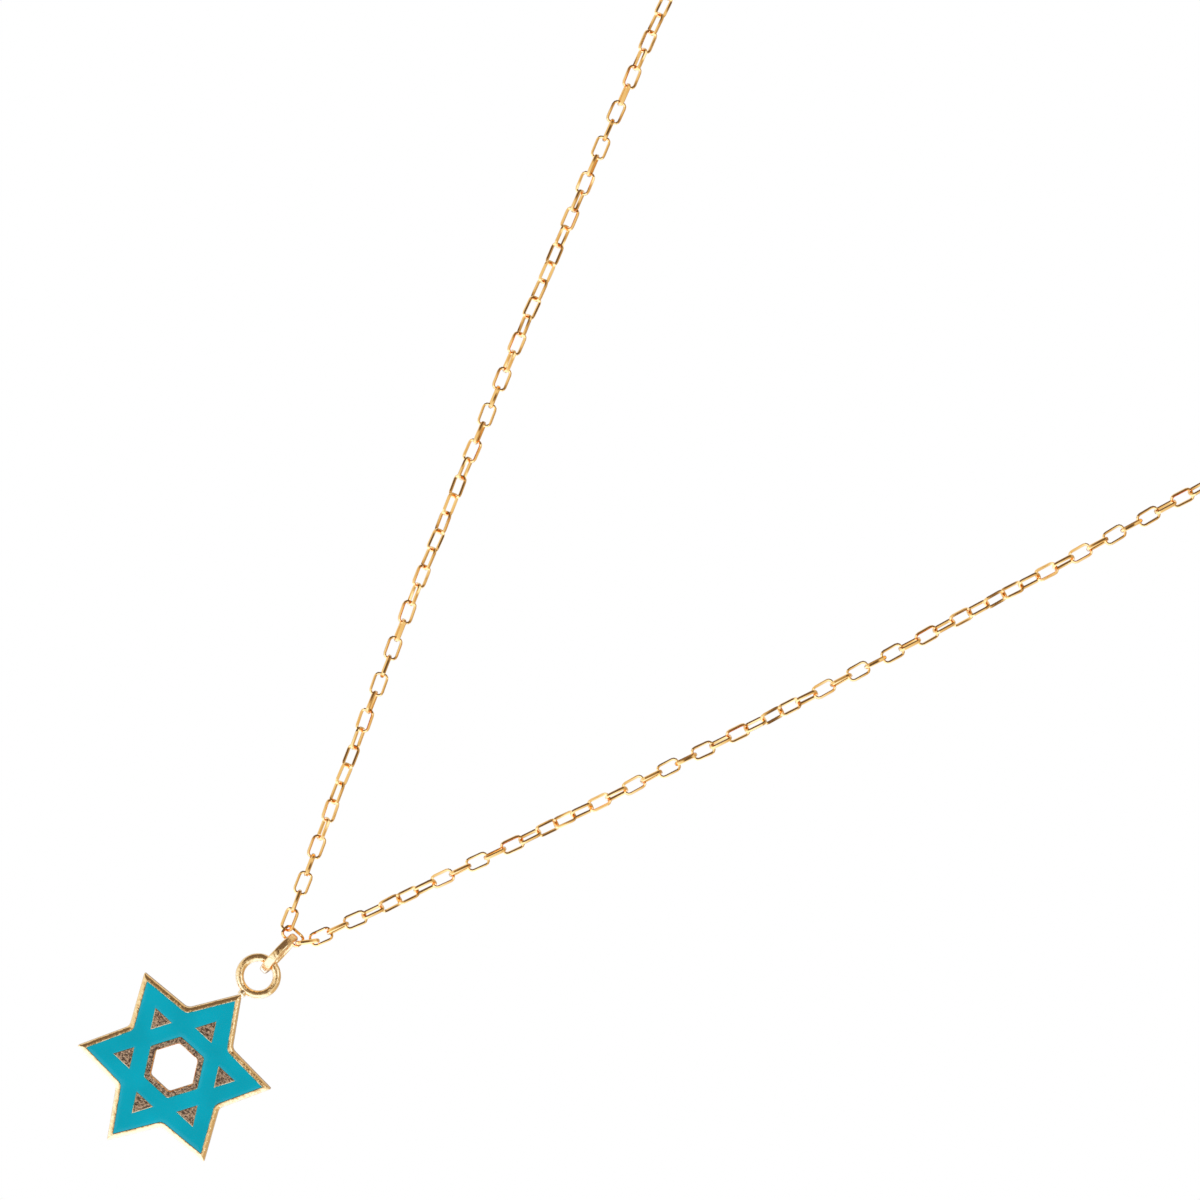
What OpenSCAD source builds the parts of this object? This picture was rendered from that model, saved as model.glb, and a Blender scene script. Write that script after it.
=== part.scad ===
// A six-pointed star pendant with turquoise enamel on a fine cable chain, as it
// hangs from the neck. +Z is up and +Y points away from the viewer. The origin is
// on the inside of the clasp, at the top of the loop.

/* [Star] */
// Distance from the centre of the star to the sharp corner of its points
star_tip = 6.55; // [5:0.05:10]
// Distance from the centre of the star to the corner between two points
star_notch = 4.06; // [3.8:0.02:4.6]
// Thickness of the star
star_t = 1.2; // [0.8:0.05:2]
// Rounding of the six points
tip_round = 0.07; // [0.03:0.01:0.15]
// Rounding of the six corners between the points
notch_round = 0.5; // [0.2:0.05:0.8]
// Width of the bevel along the front edge
bevel_w = 0.16; // [0.08:0.01:0.2]

/* [Enamel] */
// Width of the metal rim round the enamel
rim_w = 0.33; // [0.25:0.01:0.5]
// Depth of the recess that the enamel fills
enamel_t = 0.35; // [0.2:0.05:0.5]
// Gap between the enamel and the metal
enamel_gap = 0.02; // [0.01:0.005:0.03]

/* [Hexagon and triangles] */
// Distance from the centre to the corners of the hexagonal hole
hole_r = 1.65; // [1:0.05:1.7]
// Width of the metal edge round the hexagonal hole
hole_rim = 0.36; // [0.25:0.01:0.45]
// Side of each small metal triangle
triangle_side = 1.447; // [0.8:0.01:1.6]
// Distance from the edge round the hole to the base of each small triangle
triangle_gap = 1.1; // [0.8:0.05:1.3]

/* [Soldered ring] */
// Outer diameter of the closed ring on the top point
ring_d = 3.04; // [2.4:0.02:4]
// Thickness of its wire
ring_wire = 0.55; // [0.4:0.01:0.7]
// Gap that the solder bridges between the point and the ring
solder_gap = 0.17; // [0.1:0.01:0.25]
// Diameter of the drop of solder
solder_d = 0.8; // [0.6:0.05:1.1]

/* [Bail] */
// Outer diameter of the bail
bail_d = 3.3; // [3:0.05:5]
// Width of its flattened wire
bail_w = 0.56; // [0.4:0.01:0.6]
// Thickness of its flattened wire
bail_t = 0.45; // [0.3:0.01:0.46]
// Rounding of the wire's edges
bail_round = 0.15; // [0.08:0.01:0.2]
// Turn of the bail from edge-on, in degrees
bail_turn = 8; // [0:1:9]
// Room between the bail and the link or ring that it carries
bail_gap = 0.13; // [0.12:0.01:0.16]

/* [Chain] */
// Outer length of a link
link_l = 1.74; // [1.6:0.01:2.4]
// Outer width of a link
link_w = 1.06; // [1.02:0.01:1.3]
// Thickness of a link's wire in the plane of the link
link_wire = 0.16; // [0.12:0.01:0.17]
// Depth of a link's wire across the plane of the link
link_depth = 0.27; // [0.2:0.01:0.3]
// Outer radius of a link's corners
link_round = 0.45; // [0.35:0.01:0.5]
// Room between two links
link_gap = 0.13; // [0.13:0.01:0.16]
// Outer length of the level link that carries the bail
centre_link_l = 2.2; // [1.9:0.02:2.4]
// Turn of each link on the one before, a little over a quarter turn, in degrees
link_turn = 96; // [84:1:98]

/* [Loop] */
// Lean of each strand from the vertical at the centre link, in degrees
v_lean = 22.4; // [20:0.1:26]
// Radius of the slight outward bow of the strands
bow_r = 950; // [800:10:2000]
// Length of each bowed strand, up to where the neck begins
strand_l = 140; // [120:1:160]
// Length of each strand that shows in front
front_l = 70; // [20:1:80]

/* [Clasp] */
// Outer diameter of the clasp's ring
clasp_d = 5.5; // [4.5:0.1:7]
// Thickness of the clasp's ring
clasp_wire = 1; // [0.8:0.05:1.4]
// Outer diameter of the two small eyes
eye_d = 1.9; // [1.6:0.05:2.4]
// Thickness of the wire of the eyes
eye_wire = 0.45; // [0.35:0.05:0.6]

/* [Hidden] */
$fn = 48;
POINTS = 6;
STEP = 360 / POINTS;
// Distance from the centre of the star to its straight edges
edge_r = star_tip * star_notch * sin(STEP / 2)
    / norm([star_tip - star_notch * cos(STEP / 2), star_notch * sin(STEP / 2)]);
hole_rim_r = hole_r + hole_rim / cos(STEP / 2);
// Loop: the bowed strand ends where the round of the neck begins
end_lean = v_lean - strand_l / bow_r * 180 / PI;
pitch = link_l - 2 * link_wire - link_gap;
// Hook: where the first link's end bar sits in the round corner of the centre link
CORNER_ROOM = 0.01;
hook_x = centre_link_l / 2 - link_wire - link_gap - CORNER_ROOM - bar_half(v_lean)[0];
hook_z = link_w / 2 - link_wire - link_gap - CORNER_ROOM - bar_half(v_lean)[1];
strand_end = strand_point(strand_l);
neck_r = strand_end[0] / cos(end_lean);
neck_centre_z = clasp_d / 2 - neck_r;
hook_level = neck_centre_z - neck_r * sin(end_lean) - strand_end[1];
centre_link_z = hook_level - hook_z;
// Bail and pendant hang in line below the centre link
bail_z = centre_link_z - link_w / 2 + link_wire + bail_gap + bail_t - bail_d / 2;
swing_z = bail_z - bail_d / 2 + bail_t / 2;
ring_z = swing_z + bail_t / 2 + bail_gap - ring_d / 2 + ring_wire;
star_z = ring_z - ring_d / 2 - solder_gap - star_tip;
// Chain: links in front, then the hidden stretch up to the clasp's eyes
front_links = floor((front_l - link_l) / pitch) + 1;
first_centre = (link_l - link_wire) / 2;
front_end = first_centre + (front_links - 1) * pitch + link_l / 2;
eye_x = clasp_d / 2 + eye_d / 2 - eye_wire / 2;
neck_end_angle = asin((eye_x + eye_d / 2 + link_gap) / neck_r);
back_end = strand_l + neck_r * (90 + end_lean - neck_end_angle) * PI / 180;
TUBE_SIDES = 8;
// Distance between the tube's sections, as a share of its width
TUBE_SPACING = 3.7;
tube_steps = ceil((back_end - front_end) / (TUBE_SPACING * link_w));

// Half size, across and up, of a link's end bar on a strand that leans by this angle
function bar_half(lean) = [
    link_wire / 2 * sin(lean) + link_depth / 2 * cos(lean),
    link_wire / 2 * cos(lean) + link_depth / 2 * sin(lean)];

// Place on the right strand at a length from the hook, as [x, height over the hook]
function strand_point(s) = let (a = v_lean - s / bow_r * 180 / PI) [
    hook_x + bow_r * (cos(a) - cos(v_lean)),
    bow_r * (sin(v_lean) - sin(a))];

// Lean from the vertical of the right half of the loop at a length from the hook
function loop_lean(s) = s < strand_l
    ? v_lean - s / bow_r * 180 / PI
    : end_lean - (s - strand_l) / neck_r * 180 / PI;

// Place on the right half of the loop at a length from the hook
function loop_point(s) = s < strand_l
    ? [strand_point(s)[0], 0, hook_level + strand_point(s)[1]]
    : [neck_r * cos(loop_lean(s)), 0, neck_centre_z - neck_r * sin(loop_lean(s))];

// Star outline with round points and corners, drawn in by inset
function star_points(inset, tip_r, notch_r) = let (k = 1 - inset / edge_r) [
    for (i = [0 : POINTS - 1])
        for (p = concat(
            round_corner(star_tip * k, 90 + i * STEP, tip_half, tip_r, 1),
            round_corner(star_notch * k, 90 + (i + 0.5) * STEP, notch_half, notch_r, -1)))
            p];

// Half angle of the metal at a point, and of the air at a corner between points
tip_half = asin(edge_r / star_tip);
notch_half = 180 - asin(edge_r / star_notch);

// Arc that rounds the corner at radius r in direction a; side is 1 outward, -1 inward
ARC_STEPS = 6;
function round_corner(r, a, half, arc_r, side) =
    let (open = side > 0 ? half : 180 - half,
         c = r - side * arc_r / sin(open),
         sweep = 90 - open)
    [for (j = [0 : ARC_STEPS])
        let (b = sweep * (2 * j / ARC_STEPS - 1))
        (c + side * arc_r * cos(b)) * [cos(a), sin(a)] + arc_r * sin(b) * [-sin(a), cos(a)]];

module star_outline(inset, tip_r, notch_r) {
    polygon(star_points(inset, tip_r, notch_r));
}

module hexagon(r) {
    circle(r, $fn = POINTS);
}

// Six small triangles, each on the line to a point of the star
module triangles(grow) {
    height = triangle_side * sin(60);
    base = hole_rim_r * cos(STEP / 2) + triangle_gap;
    for (i = [0 : POINTS - 1])
        rotate(90 + i * STEP)
            translate([base + height / 3, 0])
                circle(height * 2 / 3 + 2 * grow, $fn = 3);
}

// Area of the enamel, drawn in by inset on every side
module enamel_area(inset) {
    difference() {
        star_outline(rim_w + inset, tip_round / 2, notch_round);
        hexagon(hole_rim_r + inset / cos(STEP / 2));
        triangles(inset);
    }
}

// Ring of round wire about the Y axis
module wire_ring(d, wire) {
    rotate([90, 0, 0])
        rotate_extrude()
            translate([(d - wire) / 2, 0])
                circle(wire / 2);
}

// Stands a flat shape up to face the viewer, from depth y0 back to depth y1
module facing(y0, y1) {
    translate([0, y1, 0])
        rotate([90, 0, 0])
            linear_extrude(y1 - y0)
                children();
}

module star_frame() {
    color("goldenrod") {
        difference() {
            union() {
                translate([0, 0, star_z]) {
                    facing(bevel_w - star_t / 2, star_t / 2)
                        star_outline(0, tip_round, notch_round);
                    translate([0, bevel_w - star_t / 2, 0])
                        rotate([90, 0, 0])
                            linear_extrude(bevel_w, scale = 1 - bevel_w / edge_r)
                                star_outline(0, tip_round, notch_round);
                }
                translate([0, 0, ring_z])
                    wire_ring(ring_d, ring_wire);
                translate([0, 0, ring_z - ring_d / 2 - solder_gap / 2])
                    sphere(d = solder_d);
            }
            translate([0, 0, star_z]) {
                facing(-star_t, star_t)
                    hexagon(hole_r);
                facing(-star_t, enamel_t - star_t / 2)
                    enamel_area(0);
            }
        }
    }
}

module enamel_inlay() {
    color("darkturquoise")
        translate([0, 0, star_z])
            facing(-star_t / 2, enamel_t - enamel_gap - star_t / 2)
                enamel_area(enamel_gap);
}

// Section of the bail's flattened wire
module bail_section() {
    square([bail_t, bail_w - 2 * bail_round], center = true);
    square([bail_t - 2 * bail_round, bail_w], center = true);
    for (x = [-1, 1], y = [-1, 1])
        translate([x * (bail_t / 2 - bail_round), y * (bail_w / 2 - bail_round)])
            circle(bail_round);
}

module bail_ring() {
    color("goldenrod")
        translate([0, 0, bail_z])
            rotate([0, 0, -bail_turn])
                rotate([0, 90, 0])
                    rotate_extrude()
                        translate([(bail_d - bail_t) / 2, 0])
                            bail_section();
}

// Rectangle with round corners
module rounded_box(l, w, r) {
    square([l, w - 2 * r], center = true);
    square([l - 2 * r, w], center = true);
    for (x = [-1, 1], y = [-1, 1])
        translate([x * (l / 2 - r), y * (w / 2 - r)])
            circle(r);
}

// Flat-sided link along X, facing the viewer
module link(length) {
    facing(-link_depth / 2, link_depth / 2)
        difference() {
            rounded_box(length, link_w, link_round);
            rounded_box(length - 2 * link_wire, link_w - 2 * link_wire, link_round - link_wire);
        }
}

module chain_front() {
    color("gold") {
        translate([0, 0, centre_link_z])
            link(centre_link_l);
        for (side = [-1, 1], i = [1 : front_links]) {
            s = first_centre + (i - 1) * pitch;
            p = loop_point(s);
            translate([side * p[0], 0, p[2]])
                rotate([0, side * (loop_lean(s) - 90), 0])
                    rotate([side * (90 + (i - 1) * link_turn), 0, 0])
                        link(link_l);
        }
    }
}

// Tube that stands for the hidden links, from the last link in front to the clasp
function tube_ring(s) = let (p = loop_point(s), a = loop_lean(s)) [
    for (j = [0 : TUBE_SIDES - 1])
        let (b = 360 * (j + 0.5) / TUBE_SIDES, r = link_w / 2 / cos(180 / TUBE_SIDES))
        p + r * [cos(a) * cos(b), sin(b), -sin(a) * cos(b)]];

module half_tube() {
    s0 = front_end + link_gap;
    rings = [for (i = [0 : tube_steps]) tube_ring(s0 + (back_end - s0) * i / tube_steps)];
    polyhedron(
        points = [for (ring = rings) for (p = ring) p],
        faces = concat(
            [[for (j = [0 : TUBE_SIDES - 1]) j]],
            [[for (j = [TUBE_SIDES - 1 : -1 : 0]) tube_steps * TUBE_SIDES + j]],
            [for (i = [0 : tube_steps - 1], j = [0 : TUBE_SIDES - 1])
                let (k = (j + 1) % TUBE_SIDES, a = i * TUBE_SIDES, b = a + TUBE_SIDES)
                [a + j, b + j, b + k, a + k]]));
}

module chain_back() {
    color("gold") {
        half_tube();
        mirror([1, 0, 0])
            half_tube();
    }
}

module clasp() {
    color("goldenrod")
        translate([0, 0, clasp_d / 2]) {
            wire_ring(clasp_d, clasp_wire);
            for (side = [-1, 1])
                translate([side * eye_x, 0, 0])
                    wire_ring(eye_d, eye_wire);
        }
}

star_frame();
enamel_inlay();
bail_ring();
chain_front();
chain_back();
clasp();
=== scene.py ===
"""A six-pointed star pendant with turquoise enamel, hanging on a fine gold cable chain.

Shapes are worked in millimetres, and MM takes each finished mesh to metres. The star is
drawn flat in X and Y with its front towards +Z, then stood up to face the viewer.
"""

from math import asin, cos, pi, radians, sin, sqrt, tan
from random import Random

import bmesh
import bpy
from mathutils import Matrix, Vector


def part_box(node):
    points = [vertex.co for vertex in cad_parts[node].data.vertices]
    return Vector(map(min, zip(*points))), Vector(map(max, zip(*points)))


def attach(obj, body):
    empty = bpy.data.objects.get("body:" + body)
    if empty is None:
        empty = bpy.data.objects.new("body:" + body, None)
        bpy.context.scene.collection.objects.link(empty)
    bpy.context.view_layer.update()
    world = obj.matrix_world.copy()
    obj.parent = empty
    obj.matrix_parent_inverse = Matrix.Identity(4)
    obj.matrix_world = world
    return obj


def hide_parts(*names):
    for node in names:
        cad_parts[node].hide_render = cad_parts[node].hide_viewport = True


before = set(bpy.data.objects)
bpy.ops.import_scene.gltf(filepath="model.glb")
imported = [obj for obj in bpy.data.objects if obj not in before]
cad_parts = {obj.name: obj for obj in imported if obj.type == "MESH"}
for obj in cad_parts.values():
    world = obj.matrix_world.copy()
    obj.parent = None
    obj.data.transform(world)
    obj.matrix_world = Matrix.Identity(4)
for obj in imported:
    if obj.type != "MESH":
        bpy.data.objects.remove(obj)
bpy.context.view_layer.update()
MM = Matrix.Scale(0.001, 4)

# Camera: level and square to the front of the star, from far enough away to look flat.
# The picture is turned, so the top point of the star leans to the upper right.
PICTURE_TURN = radians(42.65)
# Width of what the picture shows at the star
PICTURE_WIDTH = 80
CAMERA_DISTANCE = 600
SENSOR_WIDTH = 36
# Middle of the picture from the middle of the star, across and up the picture
PICTURE_MIDDLE = (28.37, 31.13)

low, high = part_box("enamel_inlay")
star_middle = (low + high) / 2 * 1000
picture_right = Vector((cos(PICTURE_TURN), 0, sin(PICTURE_TURN)))
picture_up = Vector((-sin(PICTURE_TURN), 0, cos(PICTURE_TURN)))
aim = star_middle + PICTURE_MIDDLE[0] * picture_right + PICTURE_MIDDLE[1] * picture_up
aim.y = 0
camera = bpy.data.objects.new("camera", bpy.data.cameras.new("camera"))
camera.data.sensor_width = SENSOR_WIDTH
camera.data.lens = SENSOR_WIDTH * CAMERA_DISTANCE / PICTURE_WIDTH
camera.data.clip_start = 0.01
camera.matrix_world = (
    Matrix.Translation(MM @ (aim + Vector((0, -CAMERA_DISTANCE, 0))))
    @ Matrix.Rotation(-PICTURE_TURN, 4, "Y")
    @ Matrix.Rotation(pi / 2, 4, "X")
)
bpy.context.scene.collection.objects.link(camera)
bpy.context.scene.camera = camera

# Light: plain white from all round, and a tent that shows only in reflections. The tent is
# white below and at the left, with a dark patch above and towards the viewer, a small dark
# opening for the camera and a narrow bright panel at the right. It is warm where it is dark
# and cool where it is bright, so the gold goes from brown over yellow to cream.

# Brightness from 0 to 1, and the tent's colour and strength there
TENT_TONES = (
    (0.0, "#5B5456", 1),
    (0.3, "#9A8F8A", 1),
    (0.6, "#E8E9E4", 1),
    (0.8, "#C5DBFF", 1.7),
    (1.0, "#A6C4FF", 3.4),
)
# Brightness of the bare tent, then of each part laid over it in turn, with the cosines of
# the angles from its direction between which it fades in
TENT_BARE = 0.7
TENT_BELOW = (1.0, 0.1, 0.7)
TENT_RIGHT = (0.45, 0.3, 0.8)
TENT_PATCH = (0.09, 0.58, 0.78)
TENT_PANEL = (0.95, 0.93, 0.97)
TENT_BEHIND = (0.3, 0.85, 0.97)
TENT_OPENING = (0.05, 0.96, 0.985)
# Turn of the bright side from picture down towards picture left, and of the dark patch
# from picture up towards picture left
BELOW_TURN = radians(30)
PATCH_TURN = radians(3)
# Angle of the dark patch from the viewer
PATCH_RISE = radians(62)
# The bright panel: how far to picture right, to picture up and towards the viewer
PANEL_RIGHT = 0.8
PANEL_UP = 0.1
PANEL_NEAR = 0.6


def linear(hex_colour):
    """Linear colour of an sRGB hex value."""
    channels = [int(hex_colour[i : i + 2], 16) / 255 for i in (1, 3, 5)]
    return [c / 12.92 if c <= 0.04045 else ((c + 0.055) / 1.055) ** 2.4 for c in channels] + [1]


def add_node(tree, kind, values=None, links=None, **settings):
    """Adds a node with its settings, the values of its inputs and the sockets they read."""
    node = tree.nodes.new(kind)
    for name, value in settings.items():
        setattr(node, name, value)
    for name, value in (values or {}).items():
        node.inputs[name].default_value = value
    for name, socket in (links or {}).items():
        tree.links.new(socket, node.inputs[name])
    return node


bpy.context.scene.view_settings.view_transform = "Standard"
world = bpy.data.worlds.new("white tent")
bpy.context.scene.world = world
world.use_nodes = True
tree = world.node_tree
tree.nodes.clear()
direction = add_node(tree, "ShaderNodeTexCoord").outputs["Generated"]

viewer = Vector((0, -1, 0))
below = -cos(BELOW_TURN) * picture_up - sin(BELOW_TURN) * picture_right
patch = cos(PATCH_TURN) * picture_up - sin(PATCH_TURN) * picture_right
patch = sin(PATCH_RISE) * patch + cos(PATCH_RISE) * viewer
panel = PANEL_RIGHT * picture_right + PANEL_UP * picture_up + PANEL_NEAR * viewer
tent = add_node(tree, "ShaderNodeValue").outputs["Value"]
tent.default_value = TENT_BARE
for axis, (level, start, end) in (
    (below, TENT_BELOW),
    (picture_right, TENT_RIGHT),
    (patch, TENT_PATCH),
    (panel.normalized(), TENT_PANEL),
    (-viewer, TENT_BEHIND),
    (viewer, TENT_OPENING),
):
    along = add_node(
        tree, "ShaderNodeVectorMath", {1: axis}, {0: direction}, operation="DOT_PRODUCT"
    )
    covered = add_node(
        tree,
        "ShaderNodeMapRange",
        {"From Min": start, "From Max": end, "To Max": level},
        {"Value": along.outputs["Value"], "To Min": tent},
        interpolation_type="SMOOTHSTEP",
    )
    tent = covered.outputs["Result"]
tones = add_node(tree, "ShaderNodeValToRGB", links={"Fac": tent})
stops = tones.color_ramp.elements
for position, hex_colour, strength in TENT_TONES:
    stop = stops[0] if position == 0 else stops[-1] if position == 1 else stops.new(position)
    stop.color = [c * strength for c in linear(hex_colour)]
# Mirrored rays see the tent, and all others see plain white
white_light = add_node(tree, "ShaderNodeBackground", {"Color": (1, 1, 1, 1)})
tent_light = add_node(tree, "ShaderNodeBackground", links={"Color": tones.outputs["Color"]})
mirrored = add_node(tree, "ShaderNodeLightPath").outputs["Is Glossy Ray"]
light = add_node(
    tree,
    "ShaderNodeMixShader",
    links={0: mirrored, 1: white_light.outputs[0], 2: tent_light.outputs[0]},
)
add_node(tree, "ShaderNodeOutputWorld", links={"Surface": light.outputs[0]})

# Floor: a wide pale disc below the pendant, which hangs free above it. It stays out of
# the reflections, which would show it instead of the tent.
FLOOR_LEVEL = -260
FLOOR_RADIUS = 450


def new_material(name, values):
    """New material whose shader has these values."""
    material = bpy.data.materials.new(name)
    material.use_nodes = True
    shader = material.node_tree.nodes["Principled BSDF"]
    for socket, value in values.items():
        shader.inputs[socket].default_value = value
    return material


def finished(name, bm, materials, sharp=32):
    """Object of a mesh in millimetres, smooth but for edges sharper than this angle in
    degrees. With no angle the edges stay as they are."""
    bmesh.ops.recalc_face_normals(bm, faces=bm.faces)
    for face in bm.faces:
        face.smooth = True
    if sharp:
        for edge in bm.edges:
            edge.smooth = edge.calc_face_angle(0) < radians(sharp)
    bm.transform(MM)
    mesh = bpy.data.meshes.new(name)
    bm.to_mesh(mesh)
    bm.free()
    for material in materials:
        mesh.materials.append(material)
    piece = bpy.data.objects.new(name, mesh)
    bpy.context.scene.collection.objects.link(piece)
    return piece


bm = bmesh.new()
bmesh.ops.create_circle(bm, cap_ends=True, segments=96, radius=FLOOR_RADIUS)
bmesh.ops.translate(bm, verts=bm.verts, vec=(0, 0, FLOOR_LEVEL))

# Matt white paper: rolled without a gloss, so it shows one even tone.
matt_white = new_material(
    "matt white paper", {"Base Color": linear("#F7F6F3"), "Roughness": 0.9}
)

floor = finished("floor", bm, [matt_white])
floor.visible_diffuse = floor.visible_glossy = floor.visible_shadow = False

# Star frame: cast and polished yellow gold, one piece with the rim, the edge round the
# hexagonal hole, the six small triangles and the recess for the enamel. A closed ring of
# round wire is soldered to its top point.
STAR_TIP = 6.63
STAR_NOTCH = 4.06
STAR_THICKNESS = 1.2
TIP_ROUND = 0.07
NOTCH_ROUND = 0.5
# Steps round each corner of an outline
CORNER_STEPS = 5
RIM_WIDTH = 0.33
RIM_BEVEL = 0.3
RIM_BEVEL_STEPS = 5
BACK_BEVEL = 0.08
RECESS_DEPTH = 0.35
HOLE_RADIUS = 1.65
HOLE_RIM = 0.39
HEXAGON_CUT = 0.14
TRIANGLE_SIDE = 1.447
TRIANGLE_GAP = 1.07
TRIANGLE_CUT = 0.03
# Wear on the front edges of the raised metal
WORN_EDGE = 0.025
RING_OUTER = 3.04
RING_WIRE = 0.56
# Gap between the top point and the ring, and half the width, height and depth of the
# solder that fills it
SOLDER_GAP = 0.09
SOLDER_SIZE = (0.28, 0.34, 0.38)

# Distance from the middle of the star to its straight edges
STAR_EDGE = (
    STAR_TIP
    * STAR_NOTCH
    * sin(pi / 6)
    / sqrt((STAR_TIP - STAR_NOTCH * cos(pi / 6)) ** 2 + (STAR_NOTCH * sin(pi / 6)) ** 2)
)
TIP_HALF_ANGLE = asin(STAR_EDGE / STAR_TIP)
NOTCH_HALF_ANGLE = asin(STAR_EDGE / STAR_NOTCH)
HOLE_OUTER = HOLE_RADIUS + HOLE_RIM / cos(pi / 6)
TRIANGLE_RADIUS = TRIANGLE_SIDE / sqrt(3)
TRIANGLE_OUT = HOLE_OUTER * cos(pi / 6) + TRIANGLE_GAP + TRIANGLE_RADIUS / 2
FRONT = STAR_THICKNESS / 2
RECESS_FLOOR = FRONT - RECESS_DEPTH


def outline(bm, corners, distances, cuts, level, out=0, turn=0):
    """Edges of a flat outline whose corners are at these distances in turn, each rounded
    over its cut. The outline is moved out along Y, turned and set at its level."""
    corner = bmesh.ops.create_circle(bm, cap_ends=True, segments=corners, radius=1)["verts"]
    kinds = [corner[kind :: len(distances)] for kind in range(len(distances))]
    for kind, distance in zip(kinds, distances):
        bmesh.ops.scale(bm, verts=kind, vec=(distance, distance, 1))
    for kind, cut in zip(kinds, cuts):
        bmesh.ops.bevel(
            bm, geom=kind, affect="VERTICES", offset=cut, segments=CORNER_STEPS, profile=0.5,
            material=-1,
        )
    (face,) = bm.faces
    place = Matrix.Rotation(radians(turn), 4, "Z") @ Matrix.Translation((0, out, level))
    bmesh.ops.transform(bm, verts=face.verts, matrix=place)
    edges = list(face.edges)
    bmesh.ops.delete(bm, geom=[face], context="FACES_ONLY")
    return edges


def star_outline(bm, inset, level):
    """Outline of the star, drawn in by inset. Its points get sharper as they shrink, up to
    half their rounding at the inside of the rim."""
    share = 1 - inset / STAR_EDGE
    tip_round = TIP_ROUND * (1 - 0.5 * min(inset / RIM_WIDTH, 1))
    cuts = (tip_round / tan(TIP_HALF_ANGLE), NOTCH_ROUND / tan(NOTCH_HALF_ANGLE))
    return outline(bm, 12, (STAR_TIP * share, STAR_NOTCH * share), cuts, level)


def hexagon_outline(bm, radius, level):
    """Outline of the hole, with flat sides above and below."""
    return outline(bm, 6, (radius,), (HEXAGON_CUT,), level, turn=30)


def triangle_outline(bm, grow, level, number):
    """Outline of a small triangle, counted round from the top point. Its sides are moved
    out by grow."""
    radius = TRIANGLE_RADIUS + 2 * grow
    return outline(bm, 3, (radius,), (TRIANGLE_CUT,), level, TRIANGLE_OUT, 60 * number)


def cover(bm, outlines):
    """Flat face between outlines at one level."""
    edges = [edge for edges in outlines for edge in edges]
    bmesh.ops.triangle_fill(bm, edges=edges, use_beauty=True, normal=(0, 0, 1))


def skin(bm, outlines):
    """Skin over a row of outlines, each joined to the next. A step within one level is a
    flat face."""
    for first, second in zip(outlines, outlines[1:]):
        if first[0].verts[0].co.z == second[0].verts[0].co.z:
            cover(bm, [first, second])
        else:
            bmesh.ops.bridge_loops(bm, edges=first + second)


def wire_ring(bm, outer, wire, steps, sides):
    """Closed ring of round wire, flat in X and Y. Gives its vertices."""
    section = bmesh.ops.create_circle(bm, segments=sides, radius=wire / 2)["verts"]
    place = Matrix.Translation(((outer - wire) / 2, 0, 0)) @ Matrix.Rotation(pi / 2, 4, "X")
    bmesh.ops.transform(bm, verts=section, matrix=place)
    edges = list({edge for vertex in section for edge in vertex.link_edges})
    before = set(bm.verts) - set(section)
    bmesh.ops.spin(
        bm, geom=section + edges, axis=(0, 0, 1), cent=(0, 0, 0), angle=2 * pi, steps=steps,
        use_merge=True,
    )
    return [vertex for vertex in bm.verts if vertex not in before]


bm = bmesh.new()
bevel_turns = [pi / 2 * step / RIM_BEVEL_STEPS for step in range(RIM_BEVEL_STEPS + 1)]
star_wall = [
    star_outline(bm, BACK_BEVEL, -FRONT),
    star_outline(bm, 0, BACK_BEVEL - FRONT),
    *(
        star_outline(bm, RIM_BEVEL * (1 - cos(a)), FRONT - RIM_BEVEL * (1 - sin(a)))
        for a in bevel_turns
    ),
    star_outline(bm, RIM_WIDTH - WORN_EDGE, FRONT),
    star_outline(bm, RIM_WIDTH, FRONT - WORN_EDGE),
    star_outline(bm, RIM_WIDTH, RECESS_FLOOR),
]
hole_wall = [
    hexagon_outline(bm, HOLE_OUTER, RECESS_FLOOR),
    hexagon_outline(bm, HOLE_OUTER, FRONT - WORN_EDGE),
    hexagon_outline(bm, HOLE_OUTER - WORN_EDGE, FRONT),
    hexagon_outline(bm, HOLE_RADIUS + 2 * WORN_EDGE, FRONT),
    hexagon_outline(bm, HOLE_RADIUS, FRONT - 2 * WORN_EDGE),
    hexagon_outline(bm, HOLE_RADIUS, 2 * WORN_EDGE - FRONT),
    hexagon_outline(bm, HOLE_RADIUS + 2 * WORN_EDGE, -FRONT),
]
triangle_walls = [
    [
        triangle_outline(bm, 0, RECESS_FLOOR, number),
        triangle_outline(bm, 0, FRONT - WORN_EDGE, number),
        triangle_outline(bm, -WORN_EDGE, FRONT, number),
    ]
    for number in range(6)
]
for wall in [star_wall, hole_wall, *triangle_walls]:
    skin(bm, wall)
cover(bm, [star_wall[0], hole_wall[-1]])
cover(bm, [star_wall[-1], hole_wall[0], *(wall[0] for wall in triangle_walls)])
for wall in triangle_walls:
    cover(bm, [wall[-1]])
# The flats of the front and the back take the second material, all the rest the first
for face in bm.faces:
    face.material_index = 1 if abs(face.calc_center_median().z) > FRONT - 1e-4 else 0

ring_out = STAR_TIP + SOLDER_GAP + RING_OUTER / 2
ring = wire_ring(bm, RING_OUTER, RING_WIRE, steps=96, sides=20)
bmesh.ops.translate(bm, verts=ring, vec=(0, ring_out, 0))
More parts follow.
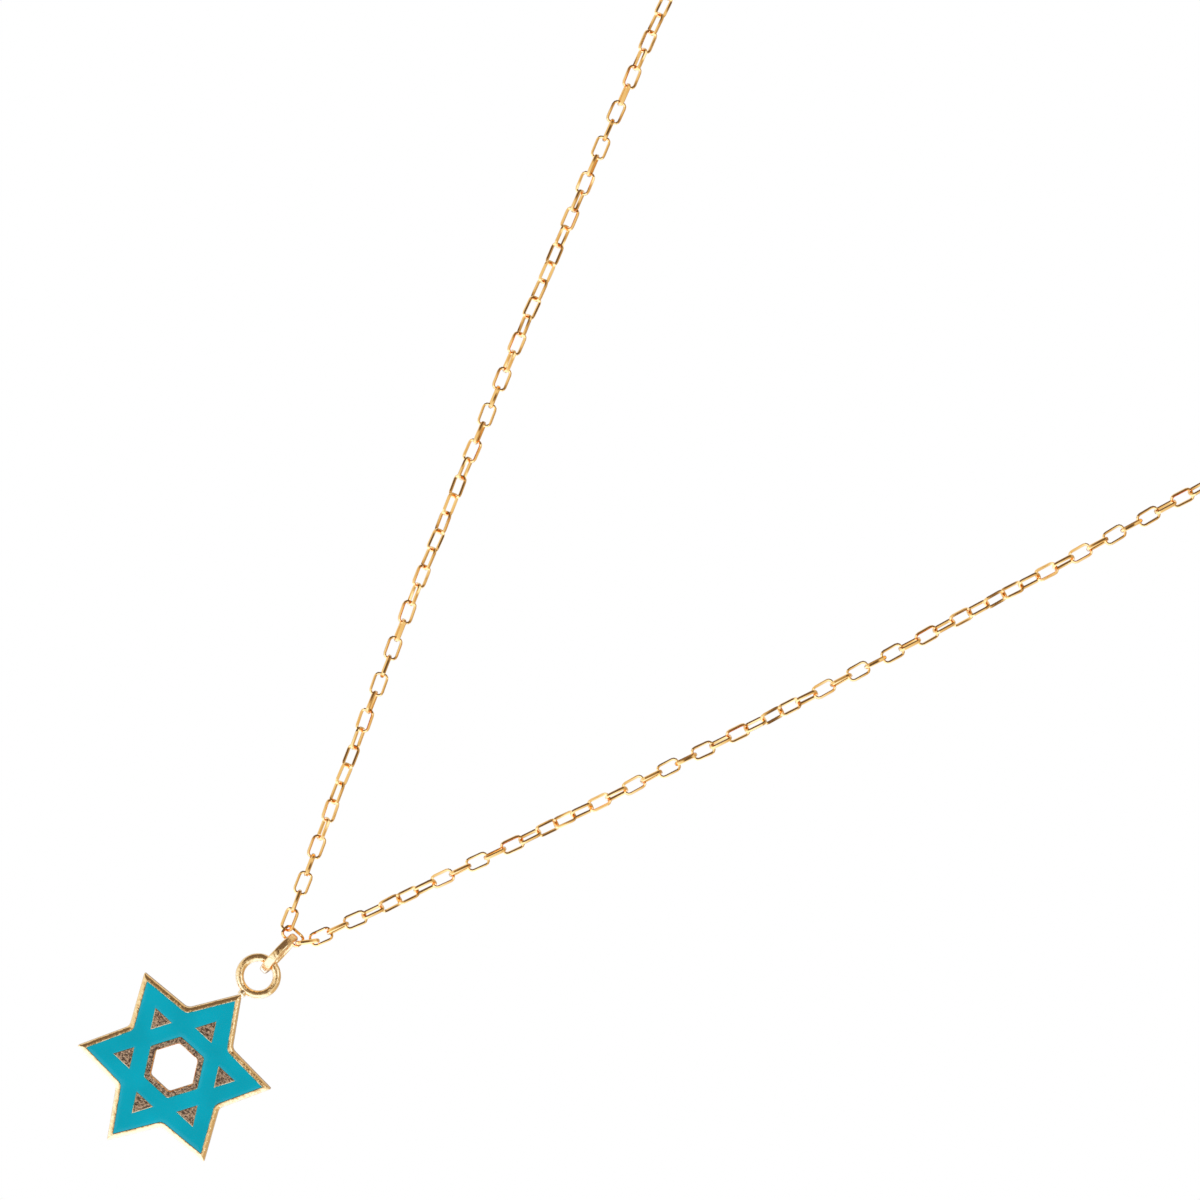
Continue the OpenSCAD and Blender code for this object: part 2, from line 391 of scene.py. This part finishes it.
# Solder drawn in between the point and the ring, in the third material, whose pale colour is partly
# a painted highlight
solder = bmesh.ops.create_icosphere(bm, subdivisions=3, radius=1)["verts"]
bmesh.ops.scale(bm, verts=solder, vec=SOLDER_SIZE)
bmesh.ops.translate(bm, verts=solder, vec=(0, STAR_TIP + SOLDER_GAP / 2, 0))
for face in {face for vertex in solder for face in vertex.link_faces}:
    face.material_index = 2
stand_up = Matrix.Translation((0, 0, star_middle.z)) @ Matrix.Rotation(pi / 2, 4, "X")
bm.transform(stand_up)

# Polished yellow gold: cast, then tumbled and buffed by hand. It mirrors the tent, with
# faint waves and a fine haze where the buff didn't reach.
WAVE = 0.35
# Size of the haze and of the stoned grain, both drawn as coarse as they need to show.
# Patterns and bumps are in metres, so a size in millimetres gives a scale of 1000 over it.
GRAIN = 0.13

polished_gold = new_material(
    "polished yellow gold", {"Metallic": 1, "Base Color": linear("#FFCE88")}
)
tree = polished_gold.node_tree
shader = tree.nodes["Principled BSDF"]
place = add_node(tree, "ShaderNodeTexCoord").outputs["Object"]
waves = add_node(
    tree, "ShaderNodeTexNoise", {"Scale": 1000 / WAVE, "Detail": 2}, {"Vector": place}
)
haze = add_node(
    tree,
    "ShaderNodeTexNoise",
    {"Scale": 1000 / GRAIN, "Detail": 3, "Roughness": 0.6},
    {"Vector": place},
)
roughness = add_node(
    tree,
    "ShaderNodeMapRange",
    {"From Min": 0.3, "From Max": 0.75, "To Min": 0.1, "To Max": 0.3},
    {"Value": haze.outputs["Fac"]},
)
tree.links.new(roughness.outputs["Result"], shader.inputs["Roughness"])
fine = add_node(
    tree, "ShaderNodeBump", {"Strength": 0.4, "Distance": 0.00002}, {"Height": haze.outputs["Fac"]}
)
bump = add_node(
    tree,
    "ShaderNodeBump",
    {"Strength": 0.7, "Distance": 0.00008},
    {"Height": waves.outputs["Fac"], "Normal": fine.outputs["Normal"]},
)
tree.links.new(bump.outputs["Normal"], shader.inputs["Normal"])

# Stoned gold: the flats are rubbed level with the enamel on a wet stone, which leaves a
# fine pitted grain. Facing the dark opening of the tent it looks brown and stippled.
stoned_gold = new_material("stoned yellow gold", {"Metallic": 1, "Roughness": 0.3})
tree = stoned_gold.node_tree
shader = tree.nodes["Principled BSDF"]
place = add_node(tree, "ShaderNodeTexCoord").outputs["Object"]
grain = add_node(
    tree,
    "ShaderNodeTexNoise",
    {"Scale": 1000 / GRAIN, "Detail": 4, "Roughness": 0.7},
    {"Vector": place},
)
tone = add_node(tree, "ShaderNodeValToRGB", links={"Fac": grain.outputs["Fac"]})
tone.color_ramp.elements[0].position = 0.42
tone.color_ramp.elements[0].color = linear("#5E4433")
tone.color_ramp.elements[1].position = 0.6
tone.color_ramp.elements[1].color = linear("#E8B888")
tree.links.new(tone.outputs["Color"], shader.inputs["Base Color"])
bump = add_node(
    tree, "ShaderNodeBump", {"Strength": 0.8, "Distance": 0.00003}, {"Height": grain.outputs["Fac"]}
)
tree.links.new(bump.outputs["Normal"], shader.inputs["Normal"])

# Gold solder: paler than the casting and left as it flowed, with a satin skin. Its colour is made
# paler still as a painted highlight, standing in for the white glint where the point meets the
# ring.
pale_solder_painted_highlight = new_material(
    "pale gold solder with painted highlight", {"Metallic": 1, "Base Color": linear("#FFD9A0"), "Roughness": 0.25}
)

star_frame = finished("star_frame_gold", bm, [polished_gold, stoned_gold, pale_solder_painted_highlight])
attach(star_frame, "pendant")
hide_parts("star_frame")

# Enamel: turquoise glass, filled into the recess in layers, fired and ground level with
# the rim. It pulls in slightly along the metal.
ENAMEL_ROUND = 0.05
# Gap to the metal at the sides and below, and depth of the enamel's face below the flats
ENAMEL_GAP = 0.01
ENAMEL_SINK = 0.015

bm = bmesh.new()
face_level = FRONT - ENAMEL_SINK
# Inset and level of the outlines, from the underside up and over the rounded edge
sunk = [
    (0, RECESS_FLOOR + ENAMEL_GAP),
    (0, face_level - ENAMEL_ROUND / 2),
    (ENAMEL_ROUND / 3, face_level - ENAMEL_ROUND / 6),
    (ENAMEL_ROUND, face_level),
]
enamel_walls = [
    [star_outline(bm, RIM_WIDTH + ENAMEL_GAP + inset, level) for inset, level in sunk],
    [hexagon_outline(bm, HOLE_OUTER + ENAMEL_GAP + inset, level) for inset, level in sunk],
    *(
        [triangle_outline(bm, ENAMEL_GAP + inset, level, number) for inset, level in sunk]
        for number in range(6)
    ),
]
for wall in enamel_walls:
    skin(bm, wall)
cover(bm, [wall[0] for wall in enamel_walls])
cover(bm, [wall[-1] for wall in enamel_walls])
bm.transform(stand_up)

# Turquoise enamel: opaque fired glass with a soft gloss. Its colour clouds a little where
# the layers are uneven, and the fire leaves faint ripples.
CLOUD = 2.5
RIPPLE = 0.5

turquoise_enamel = new_material(
    "turquoise enamel", {"Roughness": 0.1, "IOR": 1.52, "Specular IOR Level": 0.3}
)
tree = turquoise_enamel.node_tree
shader = tree.nodes["Principled BSDF"]
place = add_node(tree, "ShaderNodeTexCoord").outputs["Object"]
clouds = add_node(
    tree, "ShaderNodeTexNoise", {"Scale": 1000 / CLOUD, "Detail": 3}, {"Vector": place}
)
colour = add_node(tree, "ShaderNodeValToRGB", links={"Fac": clouds.outputs["Fac"]})
colour.color_ramp.elements[0].position = 0.3
colour.color_ramp.elements[0].color = linear("#009FB3")
colour.color_ramp.elements[1].position = 0.7
colour.color_ramp.elements[1].color = linear("#00ABC1")
tree.links.new(colour.outputs["Color"], shader.inputs["Base Color"])
ripples = add_node(
    tree, "ShaderNodeTexNoise", {"Scale": 1000 / RIPPLE, "Detail": 2}, {"Vector": place}
)
bump = add_node(
    tree,
    "ShaderNodeBump",
    {"Strength": 0.3, "Distance": 0.00001},
    {"Height": ripples.outputs["Fac"]},
)
tree.links.new(bump.outputs["Normal"], shader.inputs["Normal"])

enamel = finished("turquoise_enamel", bm, [turquoise_enamel])
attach(enamel, "pendant")
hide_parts("enamel_inlay")

# Bail: a ring of flattened gold wire, soldered shut. It joins the pendant's ring to the
# chain and hangs almost edge-on to the viewer.
BAIL_OUTER = 3.3
BAIL_WIDTH = 0.56
BAIL_THICKNESS = 0.36
BAIL_CUT = 0.16
# Turn out of the edge-on view, in degrees
BAIL_TURN = 4.5

low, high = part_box("bail_ring")
bail_middle = (low + high) / 2 * 1000
bm = bmesh.new()
section = bmesh.ops.create_grid(bm, x_segments=1, y_segments=1, size=0.5)["verts"]
bmesh.ops.scale(bm, verts=section, vec=(BAIL_WIDTH, BAIL_THICKNESS, 1))
bmesh.ops.bevel(
    bm, geom=section, affect="VERTICES", offset=BAIL_CUT, segments=4, profile=0.5, material=-1
)
bmesh.ops.delete(bm, geom=bm.faces[:], context="FACES_ONLY")
bmesh.ops.translate(bm, verts=bm.verts, vec=(0, (BAIL_OUTER - BAIL_THICKNESS) / 2, 0))
bmesh.ops.spin(
    bm, geom=bm.verts[:] + bm.edges[:], axis=(1, 0, 0), cent=(0, 0, 0), angle=2 * pi, steps=96,
    use_merge=True,
)
bm.transform(Matrix.Translation(bail_middle) @ Matrix.Rotation(radians(-BAIL_TURN), 4, "Z"))
bail = finished("bail_gold", bm, [polished_gold], sharp=40)
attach(bail, "bail")
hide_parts("bail_ring")

# Chain in front: cable links of fine gold wire, closed and soldered, and rolled slightly
# flat. Each is turned by about a quarter turn on the one before, and both strands are
# twisted besides. The centre link carries the bail.
LINK_LENGTH = 1.65
LINK_WIDTH = 1.02
# Thickness of the wire in the plane of the link, and across that plane
LINK_WIRE = 0.2
LINK_DEPTH = 0.26
LINK_CORNER = 0.38
# Sides of the wire and steps round each corner of a link
FRONT_WIRE = (6, 3)
BACK_WIRE = (4, 2)
LINK_PITCH = 1.29
# Most that a single link slants off the strand, in degrees
LINK_SLANT = 3
# Links of each strand in front, besides the centre link
FRONT_LINKS = 53
# Each strand leans out from where it hooks into the centre link, bows out slightly, and
# then goes round the neck
HOOK_X = 0.77
HOOK_Z = -186.776
STRAND_LEAN = radians(22.4)
BOW_RADIUS = 950
STRAND_LENGTH = 140
NECK_RADIUS = 45.629
NECK_MIDDLE_Z = -42.879
# Place of each strand's link 0 from the hook, along the strand
LEFT_FIRST = 0.66
RIGHT_FIRST = -0.03
# Roll of link 0, and twist of the strand up to some of its links, in degrees
LEFT_TURN = 28
LEFT_TWIST = (
    (0, 0), (1, -28), (3, -34), (5, -50), (14, -122), (24, -174), (30, -222), (41, -284),
    (52, -346),
)
RIGHT_TURN = 90
RIGHT_TWIST = (
    (0, 0), (1, -28), (4, 24), (8, 72), (16, 144), (26, 210), (30, 254), (36, 288),
    (45, 342), (52, 388),
)
# Links at the bail, which lie a little off the strands: across, behind and above the
# middle of the bail, then yaw, lean from upright and roll. The centre link comes first.
APEX_LINKS = (
    (-0.11, -0.05, 1.48, 8, 90, -12),
    (0.88, -0.05, 1.87, 1, 40, 84),
    (1.3, 0.05, 2.73, 5, 23, -5),
)
neck_lean = STRAND_LEAN - STRAND_LENGTH / BOW_RADIUS


def strand_place(s, side, roll):
    """Place of a link at a length from the hook, on side -1 or 1, with its roll."""
    if s < STRAND_LENGTH:
        lean = STRAND_LEAN - s / BOW_RADIUS
        x = HOOK_X + BOW_RADIUS * (cos(lean) - cos(STRAND_LEAN))
        z = HOOK_Z + BOW_RADIUS * (sin(STRAND_LEAN) - sin(lean))
    else:
        lean = neck_lean - (s - STRAND_LENGTH) / NECK_RADIUS
        x = NECK_RADIUS * cos(lean)
        z = NECK_MIDDLE_Z - NECK_RADIUS * sin(lean)
    return (
        Matrix.Translation((side * x, 0, z))
        @ Matrix.Rotation(side * (lean - pi / 2), 4, "Y")
        @ Matrix.Rotation(radians(90 + roll), 4, "X")
    )


def link_mesh(sides, steps):
    """Mesh of one link, long in X and flat in X and Y, with this many sides of its wire and
    steps round its corners. It is skinned over outlines that run along the wire."""
    bm = bmesh.new()
    outlines = []
    for side in range(sides):
        turn = 2 * pi * (side + 0.5) / sides
        inset = LINK_WIRE * (1 - cos(turn)) / 2
        corners = bmesh.ops.create_grid(bm, x_segments=1, y_segments=1, size=0.5)["verts"]
        size = (LINK_LENGTH - 2 * inset, LINK_WIDTH - 2 * inset, 1)
        bmesh.ops.scale(bm, verts=corners, vec=size)
        bmesh.ops.translate(bm, verts=corners, vec=(0, 0, sin(turn) * LINK_DEPTH / 2))
        bmesh.ops.bevel(
            bm, geom=corners, affect="VERTICES", offset=LINK_CORNER - inset, segments=steps,
            profile=0.5, material=-1,
        )
        (face,) = bm.faces
        outlines.append(list(face.edges))
        bmesh.ops.delete(bm, geom=[face], context="FACES_ONLY")
    for first, second in zip(outlines, outlines[1:] + outlines[:1]):
        # Sharp across the wire, for the links that are finished with no angle
        for edge in bmesh.ops.bridge_loops(bm, edges=first + second)["edges"]:
            edge.smooth = False
    mesh = bpy.data.meshes.new("link")
    bm.to_mesh(mesh)
    bm.free()
    return mesh


def add_link(bm, mesh, place):
    """Adds a link to the chain at its place."""
    before = len(bm.verts)
    bm.from_mesh(mesh)
    bm.verts.ensure_lookup_table()
    bmesh.ops.transform(bm, verts=bm.verts[before:], matrix=place)


def link_roll(number, first_turn, twist):
    """Roll in degrees of a link of a strand: a quarter turn for each link and the twist."""
    for (start, twist_before), (end, twist_after) in zip(twist, twist[1:]):
        if number <= end:
            share = (number - start) / (end - start)
            return first_turn + 90 * number + twist_before + share * (twist_after - twist_before)


bm = bmesh.new()
front_link = link_mesh(*FRONT_WIRE)
for across, behind, above, yaw, lean, roll in APEX_LINKS:
    place = (
        Matrix.Translation((across, behind, bail_middle.z + above))
        @ Matrix.Rotation(radians(yaw), 4, "Z")
        @ Matrix.Rotation(radians(lean - 90), 4, "Y")
        @ Matrix.Rotation(radians(90 + roll), 4, "X")
    )
    add_link(bm, front_link, place)
chance = Random(7)
strands = ((-1, LEFT_FIRST, LEFT_TURN, LEFT_TWIST), (1, RIGHT_FIRST, RIGHT_TURN, RIGHT_TWIST))
for side, first, turn, twist in strands:
    # The links at the bail, but for the centre link, are the first ones of the right side
    at_apex = len(APEX_LINKS) - 1 if side == 1 else 0
    for number in range(at_apex, FRONT_LINKS):
        place = strand_place(first + number * LINK_PITCH, side, link_roll(number, turn, twist))
        slant = radians(LINK_SLANT * chance.uniform(-1, 1))
        add_link(bm, front_link, place @ Matrix.Rotation(slant, 4, "Z"))
bpy.data.meshes.remove(front_link)

# Diamond-cut gold wire: drawn and rolled bright, with fine tool marks that break up its
# reflections. They are drawn as coarse as they need to show.
TOOL_MARK = 0.1

cut_gold = new_material(
    "diamond-cut gold wire",
    {"Metallic": 1, "Base Color": linear("#FFC26E"), "Roughness": 0.1},
)
tree = cut_gold.node_tree
shader = tree.nodes["Principled BSDF"]
place = add_node(tree, "ShaderNodeTexCoord").outputs["Object"]
marks = add_node(
    tree, "ShaderNodeTexNoise", {"Scale": 1000 / TOOL_MARK, "Detail": 2}, {"Vector": place}
)
bump = add_node(
    tree, "ShaderNodeBump", {"Strength": 0.2, "Distance": 0.00001}, {"Height": marks.outputs["Fac"]}
)
tree.links.new(bump.outputs["Normal"], shader.inputs["Normal"])

chain_front = finished("cable_chain_front", bm, [cut_gold], sharp=15)
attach(chain_front, "necklace")
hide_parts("chain_front")

# Chain round the neck: the rest of both strands, in plain closed links of the same wire.
# The last link on each side hangs in an eye of the clasp.

# Distance across from the middle of the clasp to the end of the last link, in its eye
LAST_BAR_X = 3.86
# Turn of each link on the one before in degrees, before it is evened out
BACK_TURN = 96

last_lean = asin(LAST_BAR_X / NECK_RADIUS) - pi / 2
last_s = STRAND_LENGTH + NECK_RADIUS * (neck_lean - last_lean) - (LINK_LENGTH - LINK_WIRE) / 2
bm = bmesh.new()
plain_link = link_mesh(*BACK_WIRE)
for side, first, turn, twist in strands:
    front_roll = link_roll(FRONT_LINKS - 1, turn, twist)
    last_front_s = first + (FRONT_LINKS - 1) * LINK_PITCH
    back_links = round((last_s - last_front_s) / LINK_PITCH)
    back_pitch = (last_s - last_front_s) / back_links
    # The turn is evened out so that the last link is edge-on in its eye
    half_turns = round((front_roll + back_links * BACK_TURN - 90) / 180)
    even_turn = (90 + 180 * half_turns - front_roll) / back_links
    for number in range(1, back_links + 1):
        s = last_front_s + number * back_pitch
        add_link(bm, plain_link, strand_place(s, side, front_roll + number * even_turn))
bpy.data.meshes.remove(plain_link)
chain_back = finished("cable_chain_back", bm, [cut_gold], sharp=None)
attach(chain_back, "necklace")
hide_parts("chain_back")

# Clasp: a plain round ring clasp of gold wire with a small eye soldered on each side.
CLASP_OUTER = 5.5
CLASP_WIRE = 1
EYE_OUTER = 1.9
EYE_WIRE = 0.45
# The eyes are sunk into the clasp's wire by half of their own
EYE_OUT = (CLASP_OUTER + EYE_OUTER - EYE_WIRE) / 2

bm = bmesh.new()
wire_ring(bm, CLASP_OUTER, CLASP_WIRE, steps=96, sides=24)
for side in (-1, 1):
    eye = wire_ring(bm, EYE_OUTER, EYE_WIRE, steps=48, sides=16)
    bmesh.ops.translate(bm, verts=eye, vec=(side * EYE_OUT, 0, 0))
bm.transform(Matrix.Translation((0, 0, CLASP_OUTER / 2)) @ Matrix.Rotation(pi / 2, 4, "X"))
clasp = finished("ring_clasp", bm, [polished_gold])
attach(clasp, "necklace")
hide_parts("clasp")
